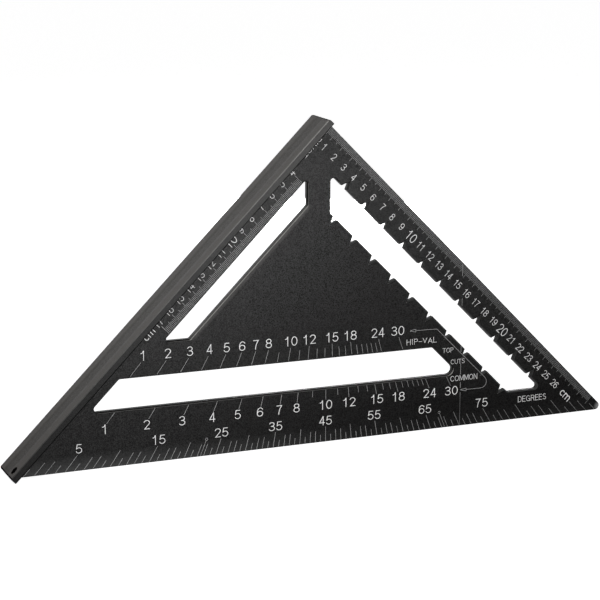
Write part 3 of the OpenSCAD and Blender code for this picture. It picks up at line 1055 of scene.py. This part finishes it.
PITCHES = (1, 2, 3, 4, 5, 6, 7, 8, 10, 12, 15, 18, 24, 30)
DEGREES = range(5, 85, 10)
common_angles = {rise: math.atan2(rise, CM) for rise in PITCHES}
hip_angles = {rise: math.atan2(rise, CM * math.sqrt(2)) for rise in PITCHES}
degree_angles = {degrees: math.radians(degrees) for degrees in DEGREES}
common_stamps = ray_stamps(common_angles, mark_end=265.8, row=268.6, height=6.4, stretch=1.10)
hip_stamps = ray_stamps(hip_angles, mark_end=207.5, row=203.6, height=6.5, stretch=1.06)
degree_stamps = ray_stamps(degree_angles, mark_end=287.9, row=284.1, height=6.35, stretch=1.08)
degree_stamps += set_line("DEGREES", middle=(31.5, 253.6), height=4.3, reads_along=UPRIGHT, stretch=0.95)
printed_piece(stamped("common_numerals", common_stamps, plain_case))
printed_piece(stamped("hip_numerals", hip_stamps, plain_case))
printed_piece(stamped("degree_numerals", degree_stamps, plain_case))

# %% [markdown]
# ## Words and units
# The rafter scales and their top cuts are named at their ends, and a word stands beside the pivot
# corner, where only the tops of its letters show past the lip of the fence. The unit at the end of each
# centimetre scale is printed heavier, so it comes from the bold case.

# %% Names of the scales
WORD_HEIGHT = 4.0
CUTS_HEIGHT = 3.4
DOWN_THE_FENCE = 0
word_stamps = set_line("HIP-VAL", (58.1, 157.8), WORD_HEIGHT, UPRIGHT, stretch=1.09)
word_stamps += set_line("TOP", (49.8, 178.0), CUTS_HEIGHT, UPRIGHT)
word_stamps += set_line("CUTS", (50.5, 189.4), CUTS_HEIGHT, UPRIGHT)
word_stamps += set_line("COMMON", (55.4, 201.3), WORD_HEIGHT, UPRIGHT, stretch=0.94)
word_stamps += set_line("PIVOT", (18.8, 3.6), WORD_HEIGHT, DOWN_THE_FENCE, stretch=1.09)
printed_piece(stamped("scale_words", word_stamps, fine_case))

EDGE_UNIT_HEIGHT = 5.9
unit_stamps = set_line("cm", (12.9, 272.9), EDGE_UNIT_HEIGHT, ALONG_EDGE)
unit_stamps += set_line("cm", (179.3, FENCE_ROW), FENCE_HEIGHT, UP_FENCE)
printed_piece(stamped("scale_units", unit_stamps, bold_case))

# %% [markdown]
# ## Printed lines
# A thin arrow ties the words for the top cuts to the two rafter scales, and a layout line crosses the
# blade square to the long edge. Both could be long thin boxes, but the arrow has rounded corners. As
# both follow a path, one more tree draws them: it rounds each corner of a path by its own radius and
# sweeps a flat rectangle along it.

# %% Line tree
CORNER_STEPS = 6
rule, given, out = new_tree(
    "printed_line", [("Width", "Float"), ("Thickness", "Float"), ("Material", "Material")])
curve = node_after(rule, "GeometryNodeMeshToCurve", "Mesh", given.outputs["Geometry"])
rounded = node_after(rule, "GeometryNodeFilletCurve", "Curve", curve.outputs[0])
rounded.mode = "POLY"
rounded.inputs["Count"].default_value = CORNER_STEPS
rounded.inputs["Limit Radius"].default_value = True
rule.links.new(attribute(rule, "bend", "FLOAT"), rounded.inputs["Radius"])
level = node_after(rule, "GeometryNodeSetCurveNormal", "Curve", rounded.outputs[0])
level.mode = "Z_UP"
nib = node_after(rule, "GeometryNodeCurvePrimitiveQuadrilateral", "Width", given.outputs["Width"])
rule.links.new(given.outputs["Thickness"], nib.inputs["Height"])
swept = node_after(rule, "GeometryNodeCurveToMesh", "Curve", level.outputs[0])
rule.links.new(nib.outputs[0], swept.inputs["Profile Curve"])
swept.inputs["Fill Caps"].default_value = True
close_tree(rule, given, out, swept.outputs[0])
print("tree ready:", rule.name)

# %% Lines along paths
LINE_WIDTH = 0.22 * MM
Corner = namedtuple("Corner", "x y bend")


def drawn(name, paths):
    """Flat printed lines along paths of corners in mm; a path that ends where it starts is a loop."""
    corners, edges = [], []
    for path in paths:
        first = len(corners)
        loop = path[0] == path[-1]
        corners += path[:-1] if loop else path
        edges += [(i, i + 1) for i in range(first, len(corners) - 1)]
        if loop:
            edges.append((len(corners) - 1, first))
    mesh = bpy.data.meshes.new(name + "_path")
    mesh.from_pydata([(c.x * MM, c.y * MM, FACE_Z + INK_THICKNESS / 2) for c in corners], edges, [])
    mesh.attributes.new("bend", "FLOAT", "POINT").data.foreach_set("value", [c.bend * MM for c in corners])
    return grown(name, mesh, rule, {"Width": LINE_WIDTH, "Thickness": INK_THICKNESS, "Material": line_ink})


print("lines are", LINE_WIDTH / MM, "mm wide")

# %% [markdown]
# ## Arrow and layout line
# The arrow runs from one hollow head, beside the hip and valley scale, down the edge of the blade's web
# to the other, beside the common scale. The layout line is drawn only in the stretches where the blade
# has metal and no lettering lies on it. Its places are those of the drawing, y = x + LAYOUT_OFFSET.

# %% Arrow
HEAD_HALF_WIDTH = 1.0
HEAD_BEND = 0.1
HIP_TIP = (59.1, 145.9)
HIP_BACK = (55.9, 149.2)
HIP_BEND = Corner(44.9, 160.6, 1.5)
COMMON_BEND = Corner(44.9, 224.3, 4.3)
COMMON_BACK = (60.2, 208.8)
COMMON_TIP = (63.4, 205.3)


def arrowhead(tip, back):
    """A slim hollow arrowhead as a closed path."""
    tip = Vector(tip)
    back = Vector(back)
    side = (tip - back).orthogonal().normalized() * HEAD_HALF_WIDTH
    return [Corner(*corner, HEAD_BEND) for corner in (tip, back + side, back - side, tip)]


shaft = [Corner(*HIP_BACK, 0.0), HIP_BEND, COMMON_BEND, Corner(*COMMON_BACK, 0.0)]
arrow = [shaft, arrowhead(HIP_TIP, HIP_BACK), arrowhead(COMMON_TIP, COMMON_BACK)]
printed_piece(drawn("cuts_arrow", arrow))

# %% Layout line
LAYOUT_OFFSET = 142.2
STRETCHES = ((0.6, 6.8), (17.5, 21.3), (41.0, 44.3), (50.0, 55.5), (59.5, 62.3), (64.5, 80.5))
layout = [[Corner(x, x + LAYOUT_OFFSET, 0.0) for x in stretch] for stretch in STRETCHES]
printed_piece(drawn("layout_line", layout))

# %% [markdown]
# ## Finishing
# The cases of type have done their work and go.

# %% Clear the type
for case in (plain_case, fine_case, bold_case):
    for sign in list(case.objects):
        bpy.data.objects.remove(sign)
    bpy.data.collections.remove(case)
